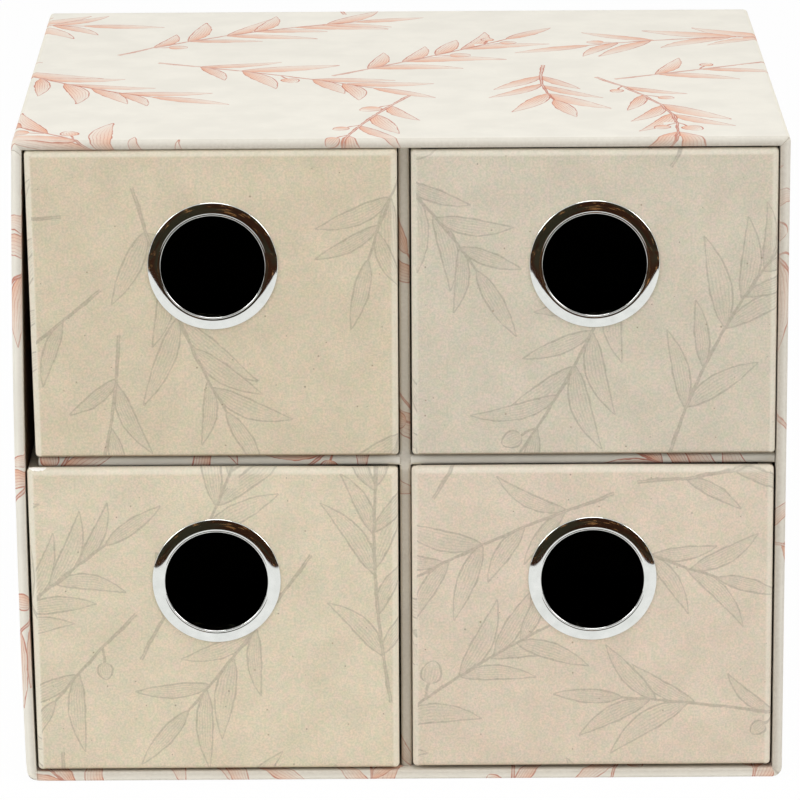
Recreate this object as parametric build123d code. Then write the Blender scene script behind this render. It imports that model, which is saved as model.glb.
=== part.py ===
from build123d import *
import os

# Desktop mini drawers: a paper-covered greyboard casing with a cross-shaped insert and four
# paper-covered tray drawers, each pulled by a chromed finger ring.
# Millimetres. X runs to the right seen from the front, Y to the back, Z up.
# The origin is under the middle of the whole object, on the surface it stands on.

# ---- sheet materials ----
board = 2.0  # greyboard of every panel
paper = 0.2  # covering and lining paper

# ---- casing ----
casing_width = 184.0  # along the straight top and underside
left_wall_bow = 1.1  # the left wall bellies out by this at mid-height
casing_depth = 156.0
casing_height = 160.0
top_corner_radius = 1.2  # long edges of the casing's top
bottom_corner_radius = 2.4  # long edges of the casing's underside
casing_fold_radius = 0.8  # paper folds round the front and the rear rim
inner_fold_radius = 0.6  # the same fold on the inner side of a rim
casing_turn_in = 4.0  # outer paper that shows inside the mouth
cover_margin = 14.0  # outer paper turned over onto the back and the underside
sheet_inset = 2.5  # the back and base sheets stop this far from the casing's edges

# ---- cross-shaped insert ----
insert_recess = 3.0  # front edge of the insert behind the casing's rim
insert_fold_radius = 0.9
edge_strip_depth = 4.0  # printed strip on each face of the insert
lap_clearance = 0.1  # round the half-lap of shelf and divider
insert_head_gap = 0.2  # above the divider
divider_offset = 0.6  # the divider stands this far right of the middle
shelf_rise = 0.1  # the shelf stands this far above the middle
shelf_left_gap = 2.1  # the shelf stops short of the left wall
shelf_right_gap = 0.2

# ---- drawers ----
drawer_side_play = 0.8  # side to side, in the right-hand column
drawer_head_clearance = 0.5
drawer_rear_clearance = 1.5
face_radius = 1.2  # edges of a drawer's front
drawer_fold_radius = 0.6  # all other folds of a drawer
drawer_turn_in = 5.0  # outer paper that shows inside a drawer's rim
# Each drawer: the column and row it fills, its gaps to the floor below and to the divider,
# and how far its left wall leans out from the bottom to the rim.
drawers = {
    "upper_left": {
        "column": -1, "row": "upper", "floor_gap": 0.8, "divider_gap": 0.4, "lean": 1.2,
    },
    "upper_right": {
        "column": 1, "row": "upper", "floor_gap": 0.8, "divider_gap": 0.5, "lean": 0.0,
    },
    "lower_left": {
        "column": -1, "row": "lower", "floor_gap": 0.6, "divider_gap": 0.6, "lean": 1.1,
    },
    "lower_right": {
        "column": 1, "row": "lower", "floor_gap": 0.9, "divider_gap": 0.3, "lean": 0.0,
    },
}

# ---- finger ring and its washer ----
ring_bore = 24.7  # diameter
ring_outer = 31.1  # diameter
ring_wall = 0.4
ring_proud = 1.0
ring_drop = {"lower": 27.3, "upper": 27.8}  # ring's centre below the drawer's top edge
ring_fit = 0.1  # between the ring's barrel and the hole it passes through
washer_outer = 30.2  # diameter
washer_thickness = 0.5
crimp_width = 1.3  # rolled end of the barrel, from the bore outwards
crimp_height = 0.7

past_face = 1.0  # how far a cutter runs beyond the face that it opens

# ---- worked out from the above ----
wall = board + 2 * paper
y_front = -(casing_depth + ring_proud) / 2 + ring_proud
y_back = y_front + casing_depth
z_under = paper  # the casing's outer paper, above the base sheet
x_in = casing_width / 2 - wall
z_in_low = z_under + wall
z_in_high = casing_height - wall
y_in_back = y_back - paper - wall
z_shelf = (z_in_low + z_in_high - wall) / 2 + shelf_rise  # underside of the shelf
cell_floor = {"lower": z_in_low, "upper": z_shelf + wall}
cell_head = {"lower": z_shelf, "upper": z_in_high}
drawer_width = x_in - divider_offset - wall / 2 - drawer_side_play  # at the bottom
drawer_depth = y_in_back - y_front - drawer_rear_clearance


def block(low, high):
    """A box from its lowest to its highest corner."""
    size = [b - a for a, b in zip(low, high)]
    centre = [(a + b) / 2 for a, b in zip(low, high)]
    return Pos(*centre) * Box(*size)


def prism(face, y_low, y_high):
    """A face drawn with X to the right and Y upwards, stood upright and run from y_low to
    y_high."""
    return extrude(Plane.XZ.offset(-y_high) * face, y_high - y_low)


def save(name, shape):
    """Everything is drawn about the casing's own middle. The bow of the left wall makes the
    whole wider on that side, so it moves over by half the bow."""
    export_step(Pos(left_wall_bow / 2, 0, 0) * shape, os.path.join("parts", name + ".step"))


# ---- casing ----


def casing_outline(inset):
    """The casing seen from the front, each side moved in by inset, with square corners."""
    half = casing_width / 2 - inset
    low, high = z_under + inset, casing_height - inset
    belly = (-half - left_wall_bow, (low + high) / 2)
    left_side = ThreePointArc((-half, high), belly, (-half, low))
    other_sides = Polyline((-half, low), (half, low), (half, high), (-half, high))
    return make_face([left_side, *other_sides.edges()])


def casing_block(inset):
    """The casing's outside, each face moved in by inset, with its folds rounded."""
    outline = casing_outline(inset)
    outline = fillet(outline.vertices().sort_by(Axis.Y)[:2], bottom_corner_radius - inset)
    outline = fillet(outline.vertices().sort_by(Axis.Y)[-2:], top_corner_radius - inset)
    body = prism(outline, y_front + inset, y_back - paper - inset)
    fold = min(casing_fold_radius, 0.7 * top_corner_radius, 0.7 * bottom_corner_radius) - inset
    for end in (0, -1):
        body = fillet(body.faces().sort_by(Axis.Y)[end].edges(), fold)
    return body


def casing_solid(inset):
    """Casing with its cavity open at the front. At inset 0 it is board with paper on both
    sides, and at inset paper it is the board alone."""
    cavity = prism(casing_outline(wall - inset), y_front - past_face, y_in_back + inset)
    body = casing_block(inset) - cavity
    rim = body.faces().filter_by(Axis.Y).sort_by(Axis.Y)[0]
    return fillet(rim.inner_wires()[0].edges(), inner_fold_radius - inset)


def casing_boards(shell):
    """The five greyboard panels. The sides run the full height, the top and the bottom fit
    between them, and the back fits inside all four."""
    x_out = casing_width / 2 - paper
    side_in = x_out - board
    z_low = z_under + paper
    z_high = casing_height - paper
    y_low = y_front + paper
    y_high = y_back - 2 * paper
    back_room = prism(casing_outline(paper + board), y_high - board, y_high)
    left_side = block((-x_out - left_wall_bow, y_low, z_low), (-side_in, y_high, z_high))
    right_side = block((side_in, y_low, z_low), (x_out, y_high, z_high))
    top = block((-side_in, y_low, z_high - board), (side_in, y_high, z_high))
    bottom = block((-side_in, y_low, z_low), (side_in, y_high, z_low + board))
    save("casing_left_board", (shell & left_side) - back_room)
    save("casing_right_board", shell & right_side)
    save("casing_top_board", shell & top)
    save("casing_bottom_board", shell & bottom)
    save("casing_back_board", shell & back_room)


def casing_papers(skin):
    """The printed outer wrap with its turn-ins, the dark lining, and the two sheets that hide
    the turned-over edges on the back and the underside."""
    lined = prism(casing_outline(wall - paper), y_front + casing_turn_in, y_in_back + paper)
    save("casing_lining", skin & lined)

    window_x = casing_width / 2 - cover_margin
    back_window = block(
        (-window_x, y_back - 2 * paper, z_under + cover_margin),
        (window_x, y_back - paper, casing_height - cover_margin),
    )
    base_window = block(
        (-window_x, y_front + cover_margin, z_under),
        (window_x, y_back - paper - cover_margin, z_under + paper),
    )
    save("casing_wrap", skin - lined - back_window - base_window)

    panel_x = casing_width / 2 - sheet_inset
    back_panel = block(
        (-panel_x, y_back - paper, z_under + sheet_inset),
        (panel_x, y_back, casing_height - sheet_inset),
    )
    base_panel = block(
        (-panel_x, y_front + sheet_inset, 0.0),
        (panel_x, y_back - paper - sheet_inset, z_under),
    )
    save("back_sheet", back_panel + back_window)
    save("base_sheet", base_panel + base_window)


def make_casing():
    shell = casing_solid(paper)
    skin = casing_solid(0.0) - shell
    casing_boards(shell)
    casing_papers(skin)


# ---- insert ----


def insert_panel(low, high, thin_axis):
    """A covered board of the insert: the board, the facing papers on its two sides, and the
    printed strip round its front edge. thin_axis is the axis across the board."""
    across = {"X": 0, "Z": 2}[thin_axis]
    board_low, board_high = list(low), list(high)
    board_low[across] += paper
    board_high[across] -= paper
    board_low[1] += paper
    along = Axis.Z if thin_axis == "X" else Axis.X

    def rounded(a, b, radius):
        body = block(a, b)
        return fillet(body.edges().filter_by(along).sort_by(Axis.Y)[:2], radius)

    radius = min(insert_fold_radius, 0.4 * wall)
    core = rounded(board_low, board_high, radius - paper)
    skin = rounded(low, high, radius) - core
    front_zone = block(
        [v - past_face for v in low],
        (high[0] + past_face, low[1] + edge_strip_depth, high[2] + past_face),
    )
    return core, skin - front_zone, skin & front_zone


def make_insert():
    """Shelf and divider cross in a half-lap: the divider is whole at the front and slotted
    behind, and the shelf is slotted in front and whole behind."""
    y_edge = y_front + insert_recess
    y_lap = (y_edge + y_in_back) / 2
    reach = wall / 2 + lap_clearance
    z_mid = z_shelf + wall / 2

    divider = insert_panel(
        (divider_offset - wall / 2, y_edge, z_in_low),
        (divider_offset + wall / 2, y_in_back, z_in_high - insert_head_gap),
        "X",
    )
    rear_slot = block(
        (divider_offset - reach, y_lap, z_mid - reach),
        (divider_offset + reach, y_in_back + past_face, z_mid + reach),
    )
    shelf = insert_panel(
        (-x_in + shelf_left_gap, y_edge, z_shelf),
        (x_in - shelf_right_gap, y_in_back, z_shelf + wall),
        "Z",
    )
    front_slot = block(
        (divider_offset - reach, y_edge - past_face, z_shelf - past_face),
        (divider_offset + reach, y_lap + lap_clearance, z_shelf + wall + past_face),
    )
    for name, piece in zip(("board", "facing", "edge_strip"), divider):
        save("divider_" + name, piece - rear_slot)
    for name, piece in zip(("board", "facing", "edge_strip"), shelf):
        save("shelf_" + name, piece - front_slot)


# ---- drawers: built with the front face on y = 0, the underside on z = 0, centred on x ----


class Tray:
    """The shape of one drawer: its height, how far its left wall leans out at the rim, and how
    far below the rim its ring is."""

    def __init__(self, height, lean, drop):
        self.height = height
        self.lean = lean
        self.z_ring = height - drop
        self.x_ring = -lean * self.z_ring / height / 2

    def prism(self, inset, y_span, z_span):
        """A length of the drawer's section, its sides moved in by inset."""
        half = drawer_width / 2 - inset
        low, high = z_span
        left_low = (-half - self.lean * low / self.height, low)
        left_high = (-half - self.lean * high / self.height, high)
        outline = Polyline(left_low, (half, low), (half, high), left_high, close=True)
        return prism(make_face(outline), *y_span)

    def block(self, inset):
        """The outside, each closed face moved in by inset, with its folds rounded."""
        y_span = (inset, drawer_depth - inset)
        body = self.prism(inset, y_span, (inset, self.height - inset))
        body = fillet(body.faces().sort_by(Axis.Y)[0].edges(), face_radius - inset)
        rear = body.faces().sort_by(Axis.Y)[-1].edges()
        long_edges = body.edges().filter_by(Axis.Y)
        fold = min(drawer_fold_radius, 0.7 * face_radius) - inset
        return fillet([*rear, *long_edges], fold)

    def solid(self, inset):
        """The tray. At inset 0 it is board with paper on both sides, and at inset paper it is
        the board alone."""
        depth = wall - inset
        z_span = (depth, self.height + past_face)
        cavity = self.prism(depth, (depth, drawer_depth - depth), z_span)
        body = self.block(inset) - cavity
        rim = body.faces().filter_by(Axis.Z).sort_by(Axis.Z)[-1]
        fold = min(inner_fold_radius, 0.25 * wall) - inset
        return fillet(rim.inner_wires()[0].edges(), fold)

    def finger_hole(self):
        """A cutter along the ring's axis, through the front only."""
        radius = ring_bore / 2 + ring_wall + ring_fit
        return Pos(self.x_ring, wall / 2, self.z_ring) * Rot(90, 0, 0) * Cylinder(radius, 2 * wall)

    def boards(self, core):
        """The five greyboard panels: front and back at full width, the sides between them and
        the bottom inside all four."""
        front_in = paper + board
        back_in = drawer_depth - paper - board
        reach = drawer_width / 2 + self.lean
        between = (front_in, back_in)
        inside = self.prism(paper + board, between, (0, self.height + past_face))
        front = core & block((-reach, 0, 0), (reach, front_in, self.height))
        back = core & block((-reach, back_in, 0), (reach, drawer_depth, self.height))
        left = core & block((-reach, front_in, 0), (0, back_in, self.height))
        right = core & block((0, front_in, 0), (reach, back_in, self.height))
        return {
            "front_board": front - self.finger_hole(),
            "back_board": back,
            "left_board": left - inside,
            "right_board": right - inside,
            "bottom_board": core & self.prism(paper + board, between, (0, paper + board)),
        }

    def papers(self, skin):
        """The printed wrap, turned in over the rim, and the dark lining below the turn-in."""
        depth = wall - paper
        lined = self.prism(
            depth, (depth, drawer_depth - depth), (depth, self.height - drawer_turn_in)
        )
        return {
            "wrap": skin - lined - self.finger_hole(),
            "lining": (skin & lined) - self.finger_hole(),
        }


def ring_section(points_and_arcs):
    """A face on the XY plane from a closed run of lines and three-point arcs. X is the
    distance from the ring's axis, and Y the distance behind the drawer's front."""
    edges = []
    for piece in points_and_arcs:
        edges.append(ThreePointArc(*piece) if len(piece) == 3 else Line(*piece))
    return make_face(edges)


def finger_ring():
    """A flanged eyelet: domed flange, shallow groove, rounded inner bead, plain barrel
    through the board, and a rolled end that holds the washer."""
    bore, outer = ring_bore / 2, ring_outer / 2
    barrel = bore + ring_wall
    flange = outer - barrel
    bead_top = (barrel, -0.95 * ring_proud)
    bead_low = (bore, -0.55 * ring_proud)
    bead_side = (bore + 0.25 * ring_wall, -0.85 * ring_proud)
    groove_in = (barrel + 0.12 * flange, -0.80 * ring_proud)
    bead_out = (barrel + 0.07 * flange, -0.91 * ring_proud)
    groove_out = (barrel + 0.24 * flange, -0.80 * ring_proud)
    groove_low = (barrel + 0.18 * flange, -0.76 * ring_proud)
    dome_mid = (barrel + 0.55 * flange, -ring_proud)
    dome_out = (barrel + 0.86 * flange, -0.72 * ring_proud)
    edge_mid = (barrel + 0.96 * flange, -0.45 * ring_proud)
    edge_low = (outer, 0.0)
    y_washer = wall + washer_thickness
    y_end = y_washer + crimp_height
    crimp = bore + crimp_width
    section = ring_section(
        [
            ((barrel, 0.0), edge_low),
            (edge_low, edge_mid, dome_out),
            (dome_out, dome_mid, groove_out),
            (groove_out, groove_low, groove_in),
            (groove_in, bead_out, bead_top),
            (bead_top, bead_side, bead_low),
            (bead_low, (bore, y_washer)),
            ((bore, y_washer), (bore + 0.3 * crimp_width, y_end), (bore + 0.7 * crimp_width, y_end)),
            ((bore + 0.7 * crimp_width, y_end), (crimp, y_washer)),
            ((crimp, y_washer), (barrel, y_washer)),
            ((barrel, y_washer), (barrel, 0.0)),
        ]
    )
    return revolve(section, Axis.Y)


def ring_washer():
    """The flat washer that the barrel's end is rolled over."""
    inner = ring_bore / 2 + ring_wall + ring_fit
    washer = Cylinder(washer_outer / 2, washer_thickness) - Cylinder(inner, washer_thickness)
    washer = chamfer(washer.faces().sort_by(Axis.Z)[0].outer_wire().edges(), 0.3 * washer_thickness)
    return Pos(0, wall + washer_thickness / 2, 0) * Rot(90, 0, 0) * washer


def make_drawers():
    for name, spec in drawers.items():
        row = spec["row"]
        z_floor = cell_floor[row] + spec["floor_gap"]
        height = cell_head[row] - drawer_head_clearance - z_floor
        tray = Tray(height, spec["lean"], ring_drop[row])
        core = tray.solid(paper)
        ring_place = Pos(tray.x_ring, 0, tray.z_ring)
        pieces = {
            **tray.boards(core),
            **tray.papers(tray.solid(0.0) - core),
            "finger_ring": ring_place * finger_ring(),
            "ring_washer": ring_place * ring_washer(),
        }
        off_divider = wall / 2 + spec["divider_gap"] + drawer_width / 2
        place = Pos(divider_offset + spec["column"] * off_divider, y_front, z_floor)
        for piece_name, piece in pieces.items():
            save(f"{name}_{piece_name}", place * piece)
        print(name, "drawer", drawer_width, "x", round(drawer_depth, 2), "x", round(height, 2))


os.makedirs("parts", exist_ok=True)
make_casing()
make_insert()
make_drawers()
print("casing", casing_width, "x", casing_depth, "x", casing_height)
print("front rim at y", y_front, "back at y", y_back, "shelf at z", round(z_shelf, 2))
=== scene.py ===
# %% [markdown]
# # Desktop mini drawers, dressed
# The chest is greyboard covered with printed paper: a casing, a cross of two boards in it, and
# four tray drawers with plated finger rings. The construction comes packed, as a fixed frame of
# named pieces. This lesson makes each visible sheet of paper and each ring as its own mesh,
# lays it exactly where the frame's piece is, and gives every surface its finish.

# %% Load the frame
import math
import random

import bpy
from mathutils import Matrix, Vector, noise


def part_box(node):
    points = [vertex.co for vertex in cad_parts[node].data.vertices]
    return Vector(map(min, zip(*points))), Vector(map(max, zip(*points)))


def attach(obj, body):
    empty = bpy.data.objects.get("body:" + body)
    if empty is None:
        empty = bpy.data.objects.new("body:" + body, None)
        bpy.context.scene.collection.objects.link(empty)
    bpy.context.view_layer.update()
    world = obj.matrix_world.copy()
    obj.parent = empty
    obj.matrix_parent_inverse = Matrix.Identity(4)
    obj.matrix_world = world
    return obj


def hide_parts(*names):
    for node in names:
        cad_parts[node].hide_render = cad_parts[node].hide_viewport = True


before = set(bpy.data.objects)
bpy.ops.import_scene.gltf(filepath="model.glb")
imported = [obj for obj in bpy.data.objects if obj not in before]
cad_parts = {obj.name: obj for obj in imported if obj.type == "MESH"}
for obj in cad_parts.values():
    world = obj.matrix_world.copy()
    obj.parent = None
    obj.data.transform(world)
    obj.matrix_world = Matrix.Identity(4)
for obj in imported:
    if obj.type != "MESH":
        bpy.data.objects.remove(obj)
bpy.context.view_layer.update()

MM = 0.001

# %% [markdown]
# ## The camera
# The photograph was taken with a long lens from a little above, so the sides nearly vanish and
# the top shows as a shallow band. A lens of 242 mm at 1.3 m gives the same taper. The camera is
# set first, because every later choice is seen through it.

# %% Camera
camera_place = Vector((-2.85, -1315.3, 434.0)) * MM
camera_pitch = math.radians(15.27)  # downwards
camera_yaw = math.radians(-0.13)
camera_roll = math.radians(0.31)
camera_lens = 241.6


def set_camera():
    data = bpy.data.cameras.new("camera")
    data.sensor_width = 36.0
    data.lens = camera_lens
    camera = bpy.data.objects.new("camera", data)
    bpy.context.scene.collection.objects.link(camera)
    level = Matrix.Rotation(math.radians(90), 4, "X")
    turn = Matrix.Rotation(camera_yaw, 4, "Z") @ Matrix.Rotation(-camera_pitch, 4, "X")
    camera.matrix_world = (
        Matrix.Translation(camera_place) @ turn @ Matrix.Rotation(camera_roll, 4, "Y") @ level
    )
    bpy.context.scene.camera = camera
    bpy.context.scene.view_settings.view_transform = "Standard"


set_camera()
print("camera", [round(v / MM) for v in camera_place], "lens", camera_lens)

# %% [markdown]
# ## Wiring materials
# A material is a tree of small nodes. Written out link by link it is hard to read, so a small
# helper adds a node, feeds its sockets and hands back its output. Sums and products of shader
# values then read like sums and products.


# %% A short hand for shader nodes
class Wiring:
    def __init__(self, tree):
        self.tree = tree

    def node(self, kind, *inputs, **settings):
        made = self.tree.nodes.new("ShaderNode" + kind)
        for name, value in settings.items():
            setattr(made, name, value)
        for place, value in enumerate(inputs):
            self.feed(made.inputs[place], value)
        return made

    def feed(self, socket, value):
        if isinstance(value, bpy.types.NodeSocket):
            self.tree.links.new(value, socket)
        elif value is not None:
            socket.default_value = value

    def math(self, operation, *values, clamp=False):
        return self.node("Math", *values, operation=operation, use_clamp=clamp).outputs[0]

    def plus(self, first, second):
        return self.math("ADD", first, second)

    def minus(self, first, second):
        return self.math("SUBTRACT", first, second)

    def rest(self, value):
        """What is left of 1."""
        return self.math("SUBTRACT", 1.0, value)

    def times(self, product, *factors, clamp=False):
        for number, factor in enumerate(factors, 1):
            product = self.math("MULTIPLY", product, factor, clamp=clamp and number == len(factors))
        return product

    def step(self, value, low, high):
        """0 below low, 1 above high, and a smooth rise between them."""
        rise = self.node("MapRange", value, low, high, 0.0, 1.0, interpolation_type="SMOOTHSTEP")
        return rise.outputs[0]

    def blend(self, share, first, second, how="MIX"):
        """A colour between two, by share. With how="MULTIPLY", the first times the second."""
        mix = self.tree.nodes.new("ShaderNodeMix")
        mix.data_type = "RGBA"
        mix.blend_type = how
        for socket, value in ((0, share), (6, first), (7, second)):
            self.feed(mix.inputs[socket], value)
        return mix.outputs[2]

    def cloud(self, place, size_mm, detail=2.0, roughness=0.5):
        """Noise whose blots are about size_mm across, from 0 to 1."""
        made = self.node("TexNoise", place)
        made.inputs["Scale"].default_value = 1.0 / (size_mm * MM)
        made.inputs["Detail"].default_value = detail
        made.inputs["Roughness"].default_value = roughness
        return made


def colour(red, green, blue):
    """A colour read as 0 to 255 on screen, as the linear values that a shader takes."""
    linear = []
    for value in (red, green, blue):
        value /= 255
        linear.append(value / 12.92 if value <= 0.04045 else ((value + 0.055) / 1.055) ** 2.4)
    return (*linear, 1.0)


def new_material(name):
    material = bpy.data.materials.new(name)
    material.use_nodes = True
    wiring = Wiring(material.node_tree)
    shader = material.node_tree.nodes["Principled BSDF"]
    return material, wiring, shader


# %% [markdown]
# ## The printed line drawing
# Both papers carry fine line drawings of leafy sprigs. An image would do it, but this model
# carries none, and a mesh cut along every leaf would be heavy. So the drawing is arithmetic:
# a leaf, a berry or a length of stem is one *stroke*, with a foot, a heading, a length, a width
# and a bend. Each face of the paper remembers the few strokes that cross it, as coordinates in
# millimetres along and across the stroke, and the shader draws the outline, the veins and the
# tint from those. Lines stay sharp at any distance.

# %% Draw one stroke in the shader
strokes_per_face = 5
leaf_fullness = 0.8  # under 1 moves a leaf's widest place towards its foot
stem_taper = 0.35  # share of its width that a stem loses on the way to its tip
stem_fill = 0.35  # how much ink there is between a stem's two lines
veins_each_side = 3.0
vein_strength = 0.45  # beside the outline's
hand_waver = 0.7  # mm


def stroke_group():
    """A node group: from a place along and across a stroke to its ink and tint, laid over what
    was drawn under it."""
    tree = bpy.data.node_groups.new("printed_stroke", "ShaderNodeTree")
    sockets = {"Place": "Vector", "Form": "Vector", "Stem": "Float", "Line": "Float", "Under": "Vector"}
    for name, kind in sockets.items():
        tree.interface.new_socket(name, in_out="INPUT", socket_type="NodeSocket" + kind)
    tree.interface.new_socket("Drawn", in_out="OUTPUT", socket_type="NodeSocketVector")
    w = Wiring(tree)
    given = tree.nodes.new("NodeGroupInput").outputs
    along_mm, across_mm, bluntness = w.node("SeparateXYZ", given["Place"]).outputs
    length, half_width, bend = w.node("SeparateXYZ", given["Form"]).outputs
    ink_under, tint_under, _ = w.node("SeparateXYZ", given["Under"]).outputs
    stem, not_stem = given["Stem"], w.rest(given["Stem"])

    # The shape: half the width here, and how far the middle has swung aside.
    along = w.math("DIVIDE", along_mm, length)
    held = w.math("MINIMUM", w.math("MAXIMUM", along, 0.001), 0.999)
    on_it = w.times(w.math("GREATER_THAN", along, 0.0), w.math("LESS_THAN", along, 1.0))
    full = w.math("POWER", held, leaf_fullness)
    leaf_edge = w.math("POWER", w.times(full, w.rest(full), 4.0), bluntness)
    stem_edge = w.rest(w.times(held, stem_taper))
    edge = w.times(w.plus(leaf_edge, w.times(stem, w.minus(stem_edge, leaf_edge))), half_width)
    sway = w.times(held, w.rest(held), 4.0, bend)

    # A hand-drawn line wavers, swells and thins.
    wobble = w.node("TexNoise", given["Place"], noise_dimensions="3D")
    wobble.inputs["Scale"].default_value = 0.35
    unsteady = wobble.outputs[0]
    waver = w.times(w.minus(unsteady, 0.5), hand_waver)
    pressure = w.plus(0.3, w.times(unsteady, 1.3))
    line = w.times(pressure, given["Line"])

    across = w.minus(across_mm, w.plus(sway, waver))
    off = w.math("ABSOLUTE", across)
    inside = w.times(w.math("LESS_THAN", off, edge), on_it)
    from_edge = w.math("ABSOLUTE", w.minus(off, edge))
    outline = w.rest(w.step(from_edge, w.times(line, 0.4), w.times(line, 1.7)))

    # Veins run lengthwise, evenly spread over the width, and fade out along the leaf.
    spread = w.math("DIVIDE", across, w.math("MAXIMUM", edge, 0.05))
    nearest = w.math("PINGPONG", w.times(spread, veins_each_side), 0.5)
    vein_off = w.times(w.math("DIVIDE", nearest, veins_each_side), edge)
    reach = w.rest(w.step(w.plus(held, w.times(unsteady, 0.5)), 0.75, 1.25))
    vein = w.rest(w.step(vein_off, 0.0, w.times(line, 1.3)))
    vein = w.times(vein, reach, not_stem, vein_strength)

    # Ink is the lines. Tint is the wash inside them, deeper at the foot and on one side.
    lines = w.math("MAXIMUM", outline, w.times(inside, stem, stem_fill))
    lines = w.math("MAXIMUM", lines, w.times(vein, inside))
    ink = w.times(lines, pressure, on_it, clamp=True)
    shade = w.times(w.plus(0.55, w.times(spread, 0.35)), w.minus(1.15, held))
    tint = w.times(inside, shade, w.plus(0.35, w.times(not_stem, 0.65)))

    seen = w.rest(inside)
    ink_out = w.plus(ink, w.times(ink_under, seen, w.rest(ink)))
    tint_out = w.plus(tint, w.times(tint_under, seen))
    drawn = w.node("CombineXYZ", ink_out, tint_out, 0.0).outputs[0]
    w.feed(tree.nodes.new("NodeGroupOutput").inputs[0], drawn)
    return tree


printed_stroke = stroke_group()


def drawn_print(w, line_half_width):
    """Ink and tint at this spot of the paper, from all the strokes that cross its face."""
    drawn = None
    for number in range(strokes_per_face):
        place = w.node("Attribute", attribute_name=f"stroke_place_{number}")
        form = w.node("Attribute", attribute_name=f"stroke_form_{number}")
        stroke = w.node("Group", node_tree=printed_stroke)
        w.feed(stroke.inputs["Place"], place.outputs["Vector"])
        w.feed(stroke.inputs["Form"], form.outputs["Vector"])
        w.feed(stroke.inputs["Stem"], form.outputs["Alpha"])
        stroke.inputs["Line"].default_value = line_half_width
        w.feed(stroke.inputs["Under"], drawn if drawn else (0.0, 0.0, 0.0))
        drawn = stroke.outputs[0]
    return w.node("SeparateXYZ", drawn).outputs[:2]


print("stroke group:", len(printed_stroke.nodes), "nodes, drawn", strokes_per_face, "times")

# %% [markdown]
# ## Composing the sprigs
# A sprig grows node by node: a length of stem, then a pair of leaves, now and then a berry on a
# short stalk, and one leaf at the tip. Sprigs are thrown at the sheet one after another, and one
# that would lie across an earlier one is thrown again elsewhere, which is how a scattered print
# keeps an even look. The draws are seeded, so the sheet is the same at every run.


# %% Grow a sprig
def towards(angle):
    return Vector((math.cos(angle), math.sin(angle)))


class Stroke:
    """A drawn shape: its foot, heading, length, half width, bend, bluntness and kind."""

    def __init__(self, foot, heading, length, half_width, bend, bluntness=1.0, stem=0.0):
        self.foot = Vector(foot)
        self.ahead = towards(heading)
        self.form = (length, half_width, bend, stem)
        self.bluntness = bluntness

    def tip(self):
        return self.foot + self.ahead * self.form[0]

    def at(self, share):
        return self.foot + self.ahead * (self.form[0] * share)

    def locate(self, spot):
        """A place on the sheet as millimetres along and across this stroke."""
        away = spot - self.foot
        return away.dot(self.ahead), self.ahead.x * away.y - self.ahead.y * away.x


leaf_angles = (26, 48)  # degrees off the stem
berry_sizes = (1.6, 2.5)  # half widths in mm


def grow_berry(place, heading, side, draw):
    stalk = Stroke(place, heading, 4.0, 0.16, 0.3 * side, stem=1.0)
    size = draw.uniform(*berry_sizes)
    return [stalk, Stroke(stalk.tip(), heading, 2.4 * size, size, 0.0, bluntness=0.6)]


def grow_leaf(place, heading, side, young, style, draw):
    """heading is the stem's and the leaf's. young is 0 at the sprig's foot and 1 at its tip."""
    stem_heading, leaf_heading = heading
    size = style["leaf"] * draw.uniform(0.8, 1.15) * (1.05 - 0.35 * abs(young - 0.4))
    foot = place + towards(stem_heading) * draw.uniform(-1.2, 1.2)
    bend = -side * size * draw.uniform(0.02, 0.09)
    width = size * style["slender"] * draw.uniform(0.85, 1.15)
    return Stroke(foot, leaf_heading, size, width, bend)


def grow_sprig(foot, heading, style, draw):
    leaves, stems = [], []
    curl = draw.uniform(-1, 1) * style["curl"]
    pairs = draw.randint(*style["pairs"])
    place = Vector(foot)
    for number in range(pairs + 1):
        young = number / pairs
        length = style["gap"] * (1.2 - 0.4 * young)
        thickness = style["stem"] * (1.0 - 0.6 * young)
        stems.append(Stroke(place, heading, length, thickness, curl * length / 9, stem=1.0))
        place = stems[-1].tip()
        heading += curl * draw.uniform(0.6, 1.4)
        if number == pairs:
            break
        for side in (-1, 1):
            if draw.random() < style["bare"]:
                continue
            aside = heading + math.radians(draw.uniform(*leaf_angles)) * side
            if draw.random() < style["berries"]:
                leaves += grow_berry(place, aside, side, draw)
            else:
                leaves.append(grow_leaf(place, (heading, aside), side, young, style, draw))
    size = style["leaf"] * draw.uniform(0.8, 0.95)
    leaves.append(Stroke(place, heading, size, size * style["slender"], curl * 2))
    return leaves + stems


# %% [markdown]
# The sheet is divided into small squares. A sprig takes the squares that its strokes lie on and
# those round them, and it is thrown away if an earlier one has any of them. The second half of
# the throws is of small sprigs, to fill what room is left.

# %% Scatter sprigs over a sheet
small_sprig = (2, 4)  # pairs of leaves
overhang = 40.0  # a sprig may start this far off the sheet, in mm


def square_at(spot):
    return math.floor(spot.x), math.floor(spot.y)


def round_about(square):
    """A square and its eight neighbours."""
    return {(square[0] + i, square[1] + j) for i in (-1, 0, 1) for j in (-1, 0, 1)}


def scatter_sprigs(width, height, style, seed):
    """Strokes over a sheet that goes from 0, 0 to width, height in millimetres."""
    draw = random.Random(seed)
    strokes, taken = [], set()
    for number in range(style["throws"]):
        if number == style["throws"] // 2:
            style = dict(style, pairs=small_sprig)
        foot = (draw.uniform(-overhang, width + overhang), draw.uniform(-overhang, height + overhang))
        sprig = grow_sprig(foot, draw.uniform(0, 2 * math.pi), style, draw)
        squares = {square_at(s.at(share) / style["air"]) for s in sprig for share in (0.25, 0.6, 0.95)}
        if squares & taken:
            continue
        strokes += sprig
        for square in squares:
            taken |= round_about(square)
    return strokes


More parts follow.
